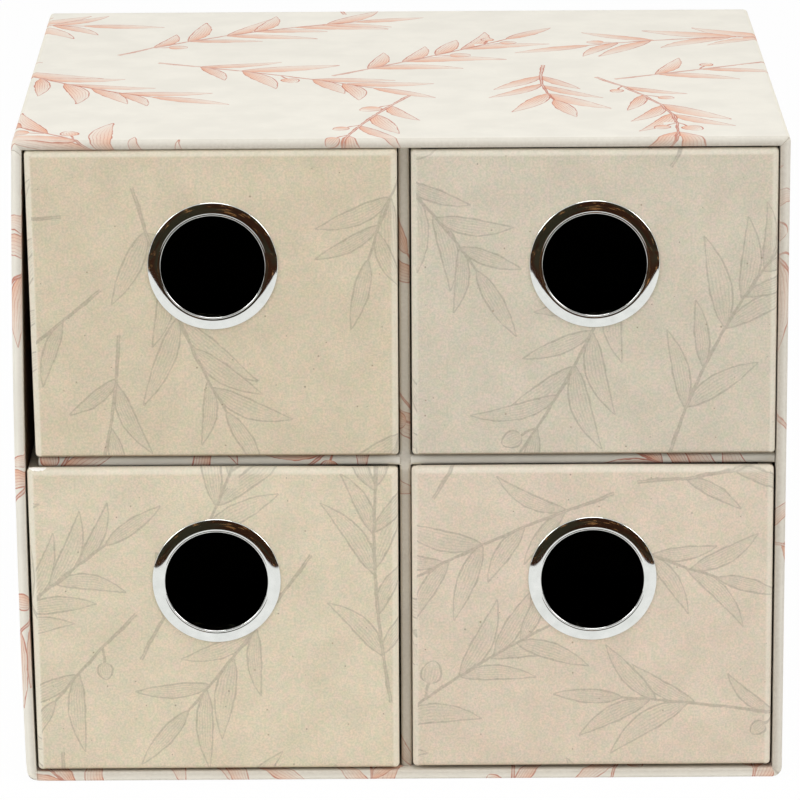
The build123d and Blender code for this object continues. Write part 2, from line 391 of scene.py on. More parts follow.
# Chances are of 1: bare that a leaf is missing, berries that it is a berry. curl is the most that
# a stem turns at a node, in radians, slender a leaf's half width as a share of its length, and
# air the size of the squares. gap, stem and leaf are lengths and a half width in mm.
casing_style = {
    "curl": 0.10, "pairs": (5, 9), "gap": 10.5, "stem": 0.42, "bare": 0.10, "berries": 0.15,
    "leaf": 23.0, "slender": 0.104, "air": 3.0, "throws": 6000,
}
drawer_style = {
    "curl": 0.09, "pairs": (4, 8), "gap": 10.0, "stem": 0.27, "bare": 0.12, "berries": 0.04,
    "leaf": 20.0, "slender": 0.105, "air": 3.0, "throws": 5000,
}

# %% [markdown]
# ## Folding a sheet round a box
# Paper that covers a box is one flat sheet with straight folds. Its mesh is a grid: the columns
# go round the box and the rows follow the section from the turned-over edge, up the wall, over
# the rim and down inside. A fold isn't sharp: paper over greyboard turns on a radius of about a
# millimetre, and that small radius is what catches the light, so every fold gets its own arc.


# %% A line that turns on arcs
arc_steps = 4


def bent_line(corners, radii, cuts):
    """Points on a path that turns square at its inner corners on arcs. cuts gives, for each
    straight leg, the shares of it where a row of the mesh goes, besides its two ends."""
    points = []
    legs = [(b - a).normalized() for a, b in zip(corners, corners[1:])]
    starts = [corners[0]] + [c + leg * r for c, leg, r in zip(corners[1:], legs[1:], radii)]
    ends = [c - leg * r for c, leg, r in zip(corners[1:], legs, radii)] + [corners[-1]]
    for number, leg in enumerate(legs):
        for share in (0.0, *cuts[number], 1.0):
            points.append(starts[number].lerp(ends[number], share))
        if number < len(radii):
            radius, ahead = radii[number], legs[number + 1]
            centre = ends[number] + ahead * radius
            for step in range(1, arc_steps):
                angle = step / arc_steps * math.pi / 2
                points.append(centre + (leg * math.sin(angle) - ahead * math.cos(angle)) * radius)
    return points


def run_lengths(points):
    """The distance from the first point to each, along the line."""
    total, lengths = 0.0, [0.0]
    for a, b in zip(points, points[1:]):
        total += (b - a).length
        lengths.append(total)
    return lengths


def even(count):
    return [step / count for step in range(1, count)]


# %% [markdown]
# The loop round the box is a rounded rectangle. Moved inwards, its corners keep their centres
# until the radius runs out, just as a covered board has a round outside and a sharp inside.

# %% A loop round a box
least_radius = 0.12  # mm


class Loop:
    """A rounded rectangle, half_a by half_b about (0, 0), from its corner at (-a, -b) on."""

    signs = ((-1, -1), (-1, 1), (1, 1), (1, -1))

    def __init__(self, half_a, half_b, radii, cuts):
        self.half = (half_a, half_b)
        self.radii = radii
        self.stations = []  # (corner, angle in degrees, share towards the next corner, side)
        for corner in range(4):
            for step in range(arc_steps + 1):
                angle = 270 - 90 * corner - 90 * step / arc_steps
                side = corner if step > arc_steps / 2 else corner - 1
                self.stations.append((corner, angle, 0.0, side))
            for share in cuts[corner]:
                self.stations.append((corner, 180 - 90 * corner, share, corner))
        self.stations.append((0, 270, 0.0, 3))
        outer = [self.point(number, 0.0) for number in range(len(self.stations))]
        self.lengths = run_lengths(outer)

    def corner_point(self, corner, angle, inset):
        corner %= 4
        radius = max(self.radii[corner] - inset, least_radius)
        sign = self.signs[corner]
        centre = Vector([s * (h - inset - radius) for s, h in zip(sign, self.half)])
        return centre + towards(math.radians(angle)) * radius

    def point(self, number, inset):
        corner, angle, share, _ = self.stations[number]
        here = self.corner_point(corner, angle, inset)
        if share:
            here = here.lerp(self.corner_point(corner + 1, angle, inset), share)
        return here

    def at_corner(self, number):
        """1 where a corner begins, turns or ends."""
        return 0.0 if self.stations[number][2] else 1.0

    def turning(self, number):
        """1 on the round of a corner and 0 on a side."""
        corner, angle, share, _ = self.stations[number]
        return 0.0 if share else math.sin(math.radians((270 - 90 * corner - angle) * 2))


# %% [markdown]
# ## From a grid to a closed sheet
# A real sheet has two faces and a cut edge. The grid is laid twice, on the paper's face and one
# thickness deeper, and the borders are closed with narrow faces. The strokes of the print are
# stored on the outer faces only.

# %% Build a sheet of paper
paper_thickness = 0.2  # mm
paper_crease = math.radians(50)  # a sharper edge than this isn't smoothed over


def add_object(name, mesh, material):
    mesh.materials.append(material)
    made = bpy.data.objects.new(name, mesh)
    bpy.context.scene.collection.objects.link(made)
    return made


class Sheet:
    """Spots of a sheet of paper, each with its place on the flat sheet, its place on the front
    and on the back of the folded paper, how much it is rubbed and painted with highlight, and
    how dark it is painted, for shade and in the seams."""

    def __init__(self):
        self.flat, self.front, self.back, self.rub, self.painted_shade_and_seams = [], [], [], [], []
        self.faces = []

    def add(self, flat, front, back, rub=0.0, painted_shade_and_seams=0.0):
        self.flat.append(Vector(flat))
        self.front.append(Vector(front))
        self.back.append(Vector(back))
        self.rub.append(rub)
        self.painted_shade_and_seams.append(painted_shade_and_seams)
        return len(self.flat) - 1

    def add_grid(self, columns, rows, spot, skip=None):
        """spot(column, row) gives add's values. skip(column, row) names faces left out."""
        grid = [[self.add(*spot(c, r)) for r in range(rows)] for c in range(columns)]
        for c in range(columns - 1):
            for r in range(rows - 1):
                if not (skip and skip(c, r)):
                    self.faces.append((grid[c][r], grid[c][r + 1], grid[c + 1][r + 1], grid[c + 1][r]))
        return grid

    def make(self, name, material, strokes=()):
        used = sorted({spot for face in self.faces for spot in face})
        place = {spot: number for number, spot in enumerate(used)}
        count = len(used)
        front = [tuple(place[s] for s in face) for face in self.faces]
        back = [tuple(count + v for v in reversed(face)) for face in front]
        edges = {}
        for face in front:
            for a, b in zip(face, face[1:] + face[:1]):
                edges[(a, b)] = edges.get((a, b), 0) + 1
        border = [(b, a, count + a, count + b) for a, b in edges if (b, a) not in edges]
        points = [self.front[s] for s in used] + [self.back[s] for s in used]
        mesh = bpy.data.meshes.new(name)
        mesh.from_pydata([p * MM for p in points], [], front + back + border)
        # This loop takes over name, so every sheet's object is called after the last attribute below.
        # Only its mesh has the name that was asked for. The first attribute paints the paler folds,
        # rubbed wear with a highlight; the second paints shade, and the darker seams.
        for name, values in (("rub", self.rub), ("painted_shade_and_seams", self.painted_shade_and_seams)):
            wear = mesh.attributes.new(name, "FLOAT", "POINT")
            wear.data.foreach_set("value", [values[s] for s in used] * 2)
        if strokes:
            self.store_strokes(mesh, strokes)
        mesh.shade_smooth()
        mesh.set_sharp_from_angle(angle=paper_crease)
        return add_object(name, mesh, material)

    def store_strokes(self, mesh, strokes):
        """On each outer face, the last few strokes that cross it, in drawing order."""
        corner_count = len(mesh.loops)
        far_off, tiny = [-1000.0, 0.0, 1.0], [1.0, 0.01, 0.0, 0.0]  # where there is no stroke
        places = [far_off * corner_count for _ in range(strokes_per_face)]
        forms = [tiny * corner_count for _ in range(strokes_per_face)]
        crossed, crowded = self.crossings(strokes), 0
        for number, face in enumerate(self.faces):
            found = crossed.get(number, ())
            crowded += len(found) > strokes_per_face
            first_loop = mesh.polygons[number].loop_start
            for layer, stroke in enumerate(found[-strokes_per_face:]):
                for step, spot in enumerate(face):
                    loop = first_loop + step
                    along, across = stroke.locate(self.flat[spot])
                    places[layer][3 * loop : 3 * loop + 3] = along, across, stroke.bluntness
                    forms[layer][4 * loop : 4 * loop + 4] = stroke.form
        for layer in range(strokes_per_face):
            place = mesh.attributes.new(f"stroke_place_{layer}", "FLOAT_VECTOR", "CORNER")
            place.data.foreach_set("vector", places[layer])
            form = mesh.attributes.new(f"stroke_form_{layer}", "FLOAT_COLOR", "CORNER")
            form.data.foreach_set("color", forms[layer])
        print(f"{mesh.name}: {len(self.faces)} faces, {len(crossed)} printed, {crowded} crowded")

    def crossings(self, strokes):
        """Which strokes cross each face, found with a coarse grid over the flat sheet."""
        cell, margin = 12.0, 0.4  # mm
        bins, middles, reaches = {}, [], []
        for number, face in enumerate(self.faces):
            middle = sum((self.flat[s] for s in face), Vector((0, 0))) / len(face)
            middles.append(middle)
            reaches.append(max((self.flat[s] - middle).length for s in face))
            bins.setdefault(square_at(middle / cell), []).append(number)
        crossed = {}
        for stroke in strokes:
            length, half_width, bend, _ = stroke.form
            nearby = set()
            steps = math.ceil(length / cell) + 1
            for step in range(steps + 1):
                nearby |= round_about(square_at(stroke.at(step / steps) / cell))
            for square in nearby:
                for number in bins.get(square, ()):
                    reach = reaches[number] + margin
                    along, across = stroke.locate(middles[number])
                    share = min(max(along / length, 0.0), 1.0)
                    sway = 4 * share * (1 - share) * bend
                    if -reach < along < length + reach and abs(across - sway) < half_width + reach:
                        crossed.setdefault(number, []).append(stroke)
        return crossed


# %% [markdown]
# ## The papers
# Two printed papers cover the chest. The casing's is a smooth off-white book paper with a
# terracotta print. The drawers' is recycled: beige, clouded, with fibres and dark specks left
# from the pulp, and the same kind of drawing in a soft grey. Both are nearly matt. The folds are
# painted paler, partly for rubbed wear and partly as a painted highlight.


# %% Pulp: the colour of the bare sheet
def pulp(w, place, base, clouding):
    """The sheet's own colour: broad clouds and a fine grain, both faint."""
    soft = w.cloud(place, 11.0, 3.0).outputs[0]
    fine = w.cloud(place, 0.9, 3.0, 0.65).outputs[0]
    paler = [min(1.0, v * (1 + clouding)) for v in base[:3]] + [1.0]
    deeper = [v * (1 - clouding) for v in base[:3]] + [1.0]
    cover = w.blend(w.step(soft, 0.3, 0.7), deeper, paler)
    return w.blend(w.times(w.step(fine, 0.45, 0.8), 0.5), cover, deeper)


# Each mottle: how large its blots are in mm, and the two colours it multiplies the sheet by.
mottles = (
    (9.0, (0.985, 0.985, 0.975), (1.015, 1.015, 1.015)),
    (2.6, (0.97, 1.005, 0.985), (1.03, 0.995, 1.0)),
    (1.7, (0.985, 0.985, 1.01), (1.015, 1.01, 0.99)),
    (1.0, (0.955, 0.99, 0.965), (1.045, 1.005, 1.03)),
    (0.5, (0.93, 0.93, 0.93), (1.06, 1.06, 1.06)),
)
# Each kind of speck: its spacing in mm, its size as a share of that, the share of places where
# none lies, and how dark it is.
specks = ((3.2, 0.085, 0.5, 0.6), (10.0, 0.045, 0.3, 0.85))
speck_brown, speck_tan, fibre_pale = colour(88, 78, 70), colour(146, 118, 92), colour(233, 224, 207)


def recycled_pulp(w, place, cover):
    """Clouds of warmer and cooler, thicker and thinner pulp, dark specks and pale fibres."""
    for size_mm, low, high in mottles:
        mottle = w.step(w.cloud(place, size_mm, 2.0, 0.6).outputs[0], 0.32, 0.68)
        cover = w.blend(1.0, cover, w.blend(mottle, (*low, 1.0), (*high, 1.0)), how="MULTIPLY")
    for spacing, radius, missing, strength in specks:
        speck = w.node("TexVoronoi", place, feature="F1")
        speck.inputs["Scale"].default_value = 1.0 / (spacing * MM)
        chance = w.node("SeparateColor", speck.outputs["Color"]).outputs
        size = w.times(w.plus(chance[0], 0.35), radius)
        outside = w.step(speck.outputs["Distance"], w.times(size, 0.3), size)
        shown = w.times(w.rest(outside), w.math("GREATER_THAN", chance[1], missing))
        cover = w.blend(w.times(shown, strength), cover, w.blend(chance[2], speck_brown, speck_tan))
    fibre = w.cloud(place, 0.9, 1.0)
    fibre.inputs["Distortion"].default_value = 2.5
    return w.blend(w.times(w.step(fibre.outputs[0], 0.66, 0.76), 0.3), cover, fibre_pale)


# %% [markdown]
# The print lies on the paler folds, rubbed and painted with highlight, and the painted shade
# and the seams' grey lie over both, so the finish is built in that order. An uneven cloud of
# less than a millimetre breaks up all three, as a hand press does.

# %% Paper finish
rubbed_white = (0.90, 0.86, 0.74)
rubbed_share = 0.8  # how far a fold, rubbed and painted with highlight, goes towards that
shade_and_seam_tone = (0.45, 0.40, 0.35)  # what painted shade, and the seams' grey, leave of the paper's colour


def add_bump(w, shader, height, distance_mm, strength):
    bump = w.node("Bump")
    bump.inputs["Distance"].default_value = distance_mm * MM
    bump.inputs["Strength"].default_value = strength
    w.feed(bump.inputs["Height"], height)
    w.feed(shader.inputs["Normal"], bump.outputs[0])


def paper_material(name, base, ink=None, tint=None, line=0.13, ink_strength=0.8, tint_strength=0.8,
                   hand=0.5, recycled=False):
    """ink and tint are the print's two colours, and hand is how unevenly it took."""
    material, w, shader = new_material(name)
    place = w.node("TexCoord").outputs["Object"]
    uneven = w.cloud(place, 0.8, 2.0, 0.6).outputs[0]
    cover = pulp(w, place, base, 0.035 if recycled else 0.03)
    if recycled:
        cover = recycled_pulp(w, place, cover)

    # Paler folds: rubbed wear and a painted highlight.
    rub = w.node("Attribute", attribute_name="rub").outputs["Fac"]
    pale = [v + rubbed_share * (white - v) for v, white in zip(base, rubbed_white)] + [1.0]
    cover = w.blend(w.times(rub, w.plus(0.5, uneven), 0.9, clamp=True), cover, pale)
    if ink:
        ink_here, tint_here = drawn_print(w, line)
        took = w.plus(1.0 - hand, w.times(uneven, 2 * hand))
        cover = w.blend(w.times(tint_here, tint_strength, took, clamp=True), cover, tint)
        cover = w.blend(w.times(ink_here, ink_strength, took, clamp=True), cover, ink)
    # Painted shade, and the darker seams, over paper and print.
    painted_shade_and_seams = w.node("Attribute", attribute_name="painted_shade_and_seams").outputs["Fac"]
    grey = [v * share for v, share in zip(base, shade_and_seam_tone)] + [1.0]
    cover = w.blend(w.times(painted_shade_and_seams, w.plus(0.6, w.times(uneven, 0.6)), clamp=True), cover, grey)

    grain = w.cloud(place, 0.3, 2.0).outputs[0]
    waves = w.cloud(place, 18.0, 1.0).outputs[0]
    w.feed(shader.inputs["Base Color"], cover)
    w.feed(shader.inputs["Roughness"], w.plus(0.78, w.times(grain, 0.16)))
    shader.inputs["Specular IOR Level"].default_value = 0.3
    add_bump(w, shader, w.plus(w.times(grain, 0.5), w.times(waves, 6.0)), 0.02, 0.7)
    return material


casing_paper = paper_material(
    "printed_casing_paper", colour(238, 234, 223), ink=colour(190, 98, 74), tint=colour(238, 192, 166),
    line=0.145, ink_strength=0.8, tint_strength=1.25, hand=0.25,
)
# Each drawer's paper has its own tone, and the lower two are painted lighter, for the light that the
# white floor throws up at them.
drawer_tones_and_painted_light = {
    "upper_left": colour(211, 198, 173),
    "upper_right": colour(209, 199, 180),
    "lower_left": colour(218, 206, 182),
    "lower_right": colour(217, 203, 183),
}
drawer_papers = {
    name: paper_material(
        "printed_drawer_paper_" + name, base, ink=colour(126, 120, 108), tint=colour(182, 174, 158),
        line=0.2, ink_strength=0.36, tint_strength=0.17, hand=0.7, recycled=True,
    )
    for name, base in drawer_tones_and_painted_light.items()
}
plain_paper = paper_material("plain_cover_paper", colour(234, 230, 218))
print("papers ready:", 2 + len(drawer_papers))

# %% [markdown]
# ## Linings, greyboard and plating
# The drawers are lined with near-black paper, which paints the shade inside them, so the finger
# holes read as black discs. Behind the drawers the gaps look brown instead, so the casing is lined
# with brown kraft paper. Greyboard is hidden once the papers are on, but it gets its own finish,
# because a viewer may lift a sheet. The rings and washers are pressed steel with bright plating.


# %% Lining, board and plating
def lining_material(name, deep, light):
    material, w, shader = new_material(name)
    place = w.node("TexCoord").outputs["Object"]
    fibre = w.cloud(place, 0.6, 3.0, 0.6).outputs[0]
    cloudy = w.cloud(place, 14.0).outputs[0]
    w.feed(shader.inputs["Base Color"], w.blend(fibre, deep, light))
    w.feed(shader.inputs["Roughness"], w.plus(0.82, w.times(cloudy, 0.1)))
    shader.inputs["Specular IOR Level"].default_value = 0.2
    add_bump(w, shader, fibre, 0.02, 1.0)
    return material


def greyboard_material():
    material, w, shader = new_material("greyboard")
    place = w.node("TexCoord").outputs["Object"]
    coarse = w.cloud(place, 1.2, 4.0, 0.7).outputs[0]
    fleck = w.cloud(place, 0.5, 2.0).outputs[0]
    cover = w.blend(coarse, colour(150, 143, 132), colour(183, 176, 163))
    cover = w.blend(w.times(w.step(fleck, 0.66, 0.74), 0.6), cover, colour(92, 88, 84))
    w.feed(shader.inputs["Base Color"], cover)
    shader.inputs["Roughness"].default_value = 0.95
    add_bump(w, shader, coarse, 0.05, 1.0)
    return material


def plating_material():
    material, w, shader = new_material("plated_steel")
    place = w.node("TexCoord").outputs["Object"]
    smear = w.cloud(place, 3.0, 2.0).outputs[0]
    ripple = w.cloud(place, 1.6, 1.0).outputs[0]
    cover = w.blend(smear, (0.66, 0.68, 0.65, 1), (0.84, 0.85, 0.82, 1))
    w.feed(shader.inputs["Base Color"], cover)
    shader.inputs["Metallic"].default_value = 1.0
    w.feed(shader.inputs["Roughness"], w.plus(0.04, w.times(smear, 0.06)))
    add_bump(w, shader, ripple, 0.01, 0.5)
    return material


# Near-black drawer lining: painted shade for the dark inside of a closed drawer.
shade_black_lining = lining_material("painted_shade_lining_paper", (0.020, 0.018, 0.015, 1), (0.045, 0.040, 0.033, 1))
brown_lining = lining_material("brown_lining_paper", (0.34, 0.235, 0.16, 1), (0.48, 0.35, 0.25, 1))
greyboard = greyboard_material()
plating = plating_material()

for name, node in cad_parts.items():
    if name.endswith("board"):
        finish = greyboard
    elif name.endswith("facing") or name == "casing_lining":
        finish = brown_lining
    # Drawer linings get the near-black paper of painted shade.
    elif name.endswith("lining"):
        finish = shade_black_lining
    elif name.endswith("washer"):
        finish = plating
    else:
        finish = plain_paper
    for place in node.material_slots:
        place.material = finish
print("finished the frame's own", len(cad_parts), "pieces")

# %% [markdown]
# ## The casing's wrap
# One printed sheet goes round the four walls. At the back it is turned over by 14 mm and at the
# mouth it turns in by 4 mm, with a joint at each corner. The left wall bellies out a little at
# mid-height, because nothing holds it there, so the sheet follows that bow.

# %% Measures of the casing
board = 2.0
wall = board + 2 * paper_thickness
left_wall_bow = 1.08
mid_x = 0.55  # the bow makes the whole wider on the left, so the walls' middle isn't at 0
casing_half_width = 92.0
casing_low, casing_high = paper_thickness, 160.0
front_y, back_y = -77.5, 78.3
casing_turn_in = 4.0
cover_margin = 14.0
casing_fold, inner_fold = 0.8, 0.6
top_corner, bottom_corner = 1.2, 2.4
face_length = 2.6  # about the size of a printed face
print("a covered wall is", wall, "mm thick")


def count_for(length):
    return max(1, round(length / face_length))


def wrap_section(margin, start, end, turn_in, fold, depth, cuts):
    """A covered wall, as inset and place: the margin that is turned over at its start, the wall
    itself, the rim at its end and the turn-in behind the rim."""
    way = 1 if end > start else -1
    first, last = start + way * depth, end - way * depth
    corners = [(margin, first), (depth, first), (depth, last), (wall - depth, last)]
    corners.append((wall - depth, end - way * turn_in))
    radii = [fold - depth, fold - depth, inner_fold - depth]
    return bent_line([Vector(corner) for corner in corners], radii, cuts)


def casing_section(depth):
    cuts = [even(count_for(cover_margin)), even(count_for(back_y - front_y)), (), even(2)]
    return wrap_section(cover_margin, back_y, front_y, casing_turn_in, casing_fold, depth, cuts)


# %% [markdown]
# At the mouth's corners the paper is cut and butted, and each corner went its own way: the top
# laps over the left corner, the left side laps over the foot, and the two on the right are
# mitred. Each joint is a groove as narrow as a line, painted darker. Shade is painted on the
# rim too: least on the left, where most light falls, and most at the inner edge by the dark mouth.

# %% Wrap the casing
seam_width, seam_depth = 0.3, 0.12  # mm
crumple_reach, crumple_depth = 5.0, 0.35  # at the lower left corner
rim_painted_shade = (0.05, 0.30, 0.38, 0.15)  # painted shade on the rim's left, top, right and foot
mouth_painted_shade, seam_grey = 0.35, 0.8  # painted shade on its inner edge, and the grey in its seams


def with_seam(shares, place, length):
    """Columns for a seam, at its middle and at both its edges, among the even ones."""
    clear = [s for s in shares if abs(s * length - place) > 0.6]
    return sorted(clear + [(place + k * seam_width / 2) / length for k in (-1, 0, 1)])


def make_casing_wrap():
    half_height = (casing_high - casing_low) / 2
    mid_z = (casing_high + casing_low) / 2
    up, over = count_for(2 * half_height), count_for(2 * casing_half_width)
    radii = (bottom_corner, top_corner, top_corner, bottom_corner)
    side_length = 2 * half_height - bottom_corner - top_corner
    foot_length = 2 * casing_half_width - 2 * bottom_corner
    left_seam = side_length - (wall - top_corner)
    foot_seam = foot_length - (wall - bottom_corner) - 0.2
    cuts = [
        with_seam(even(up), left_seam, side_length),
        even(over),
        even(up),
        with_seam(even(over), foot_seam, foot_length),
    ]
    loop = Loop(casing_half_width, half_height, radii, cuts)
    butted = {0: (side_length, left_seam), 3: (foot_length, foot_seam)}

    def is_seam(corner, angle, share, side):
        if not share:
            return corner in (2, 3) and angle == 225 - 90 * corner
        length, seam = butted.get(corner, (0.0, -1.0))
        return abs(share * length - seam) < 0.01

    seams = {number for number, station in enumerate(loop.stations) if is_seam(*station)}
    outer, inner = casing_section(0.0), casing_section(paper_thickness)
    lengths = run_lengths(outer)
    sheet = Sheet()

    def place(number, profile_point, sunk=0.0):
        inset, y = profile_point
        a, b = loop.point(number, inset)
        away = Vector((a + casing_half_width, b + half_height, max(0.0, y - front_y - 2)))
        if away.length < crumple_reach:
            dent = crumple_depth * (1 - away.length / crumple_reach)
            dent *= 0.5 + 0.5 * noise.noise(Vector((a, b, y)) * 0.9)
            a, b, y = a + dent, b + dent, y + 0.5 * dent * (y < 0)
        if a < 0:
            a -= left_wall_bow * (1 - (b / half_height) ** 2)
        return Vector((a + mid_x, y + sunk, b + mid_z))

    def spot(column, row):
        on_rim = outer[row].x > 0.05 and outer[row].y < front_y + 1.0
        seam = 1.0 if on_rim and column in seams else 0.0
        in_mouth = on_rim and outer[row].x > wall - inner_fold
        # Painted shade on the rim, deepest at the mouth.
        grey = rim_painted_shade[loop.stations[column][3]] * on_rim + mouth_painted_shade * in_mouth
        front, back = (place(column, points[row], seam * seam_depth) for points in (outer, inner))
        # Paler round corners and rim: rubbed wear and a painted highlight.
        rub = max(loop.turning(column), 0.15 * on_rim) * (1 - seam)
        return (loop.lengths[column], lengths[row]), front, back, rub, max(seam_grey * seam, grey)

    sheet.add_grid(len(loop.stations), len(outer), spot)
    strokes = scatter_sprigs(loop.lengths[-1], lengths[-1], casing_style, seed=11)
    piece = sheet.make("casing_wrap_sheet", casing_paper, strokes)
    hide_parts("casing_wrap")
    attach(piece, "casing")
    print("casing wrap unfolds to", round(loop.lengths[-1]), "by", round(lengths[-1]), "mm")


make_casing_wrap()

# %% [markdown]
# ## Strips on the edges of the cross
# The shelf and the divider are edged with the casing's paper, folded over 4 mm on each face. The
# divider runs through at the front, so its strip is whole, and the shelf has one strip on each
# side of it.

# %% Edge strips
edge_fold = 0.9
strip_depth = 4.0
fillet_reach = 0.8  # how far the divider's paper eases round onto the shelf
strip_slack = 0.1  # and how far it stands off the board elsewhere
strip_gap = 0.1  # between the shelf's strips and the divider's
# Painted shade on the strips, deepest on the divider's, in the narrow slot between the drawers.
divider_painted_shade, shelf_painted_shade = 0.5, 0.05


def box_in_mm(node):
    return [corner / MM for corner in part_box(node)]


def make_edge_strip(name, start, end, low, upright, seed, painted_shade_and_seams, ease=None):
    """A strip folded round a board's front edge. It runs from start to end along the edge, and
    low is its lowest corner. ease(along) widens it on both sides."""
    count = count_for(end - start)
    spots = {start + (end - start) * step / count for step in range(count + 1)}
    if ease:
        spots |= {ease.centre + k * 0.2 for k in range(-12, 13)}
    spots = sorted(spots)
    across_low = low.x if upright else low.z

    def profile(depth):
        near, far = across_low + depth, across_low + wall - depth
        front, rear = low.y + depth, low.y + strip_depth
        corners = [Vector(p) for p in ((near, rear), (near, front), (far, front), (far, rear))]
        return bent_line(corners, [edge_fold - depth] * 2, [even(2), (), even(2)])

    outer, inner = profile(0.0), profile(paper_thickness)
    lengths = run_lengths(outer)
    sheet = Sheet()

    def place(along, point):
        across, y = point
        if ease:
            middle = across_low + wall / 2
            across = middle + (across - middle) * (1 + 2 * ease(along) / wall)
        return Vector((across, y, along)) if upright else Vector((along, y, across))

    def spot(column, row):
        along = spots[column]
        front, back = place(along, outer[row]), place(along, inner[row])
        return (along, lengths[row]), front, back, 0.1, painted_shade_and_seams

    sheet.add_grid(len(spots), len(outer), spot)
    strokes = scatter_sprigs(end - start, 40, casing_style, seed)
    for stroke in strokes:
        stroke.foot += Vector((start, -15))
    return sheet.make(name, casing_paper, strokes)


class CrossingEase:
    """The divider's paper spreads in a small round onto the shelf's, above and below it."""

    def __init__(self, centre, above, below):
        self.centre, self.above, self.below = centre, above, below

    def __call__(self, along):
        away = abs(along - self.centre) - wall / 2
        radius = self.above if along > self.centre else self.below
        if away < 0:
            return radius
        spread = radius - math.sqrt(radius**2 - (radius - away) ** 2) if away < radius else 0.0
        return max(spread, strip_slack)


def strip_from(node, pieces):
    for piece in pieces:
        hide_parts(node)
        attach(piece, "casing")


shelf_low, shelf_high = box_in_mm("shelf_edge_strip")
low, high = box_in_mm("divider_edge_strip")
crossing = CrossingEase((shelf_low.z + shelf_high.z) / 2, fillet_reach, fillet_reach / 2)
strip_from("divider_edge_strip", [
    make_edge_strip("divider_strip", low.z, high.z, low, True, 21, divider_painted_shade, crossing),
])
strip_from("shelf_edge_strip", [
    make_edge_strip(
        "shelf_strip_left", shelf_low.x, low.x - strip_gap, shelf_low, False, 22, shelf_painted_shade
    ),
    make_edge_strip(
        "shelf_strip_right", high.x + strip_gap, shelf_high.x, shelf_low, False, 23, shelf_painted_shade
    ),
])
print("shelf strips at z", round(shelf_low.z, 2), "divider at x", round(low.x, 2))

# %% [markdown]
# ## The drawers' wraps
# Each drawer is a tray of five boards in one printed wrap, turned in over the rim by 5 mm and
# under the bottom. The loop goes round the tray in plan, and the section climbs from under the
# bottom over the rim. In the front there is a hole for the ring. Around it the grid is left out
# and a patch of rays joins the square gap to the circle. The left walls of the left-hand drawers
# lean out a little at the rim.

# %% Wrap one drawer
drawer_turn_in = 5.0
under_margin = 12.0
face_fold, corner_fold, side_fold = 1.2, 0.95, 0.6
hole_radius = 12.85
patch_reach = 17.0  # half the square that the hole's patch fills
patch_rings = 3
off_the_print = 500.0  # where the bare panel lies on the flat sheet
rub_fade = 0.5  # mm from a fold's rubbed wear and painted highlight to plain paper
rim_reach, foot_painted_shade_reach = 1.3, 0.5  # mm of paler rim, rubbed and painted with highlight, and of painted shade round the lowest fold
drawer_lean = {"upper_left": 1.2, "lower_left": 1.1}
slack = {"lower_left": 0.95}  # mm that the paper stands off the left board
# How far the paper stands off the front's rim, at its left and at its right, in mm.
front_lift = {"upper_left": (0.3, 0.3), "lower_left": (1.0, 0.7), "lower_right": (0.88, 0.66)}
fall_start, fall_length = 0.55, 0.35  # where the left value gives way, as shares of the width
lift_start, lift_length = 0.9, 0.1  # and where the paper leaves the wall, as shares of the height


def held_to_share(value):
    return max(0.0, min(1.0, value))


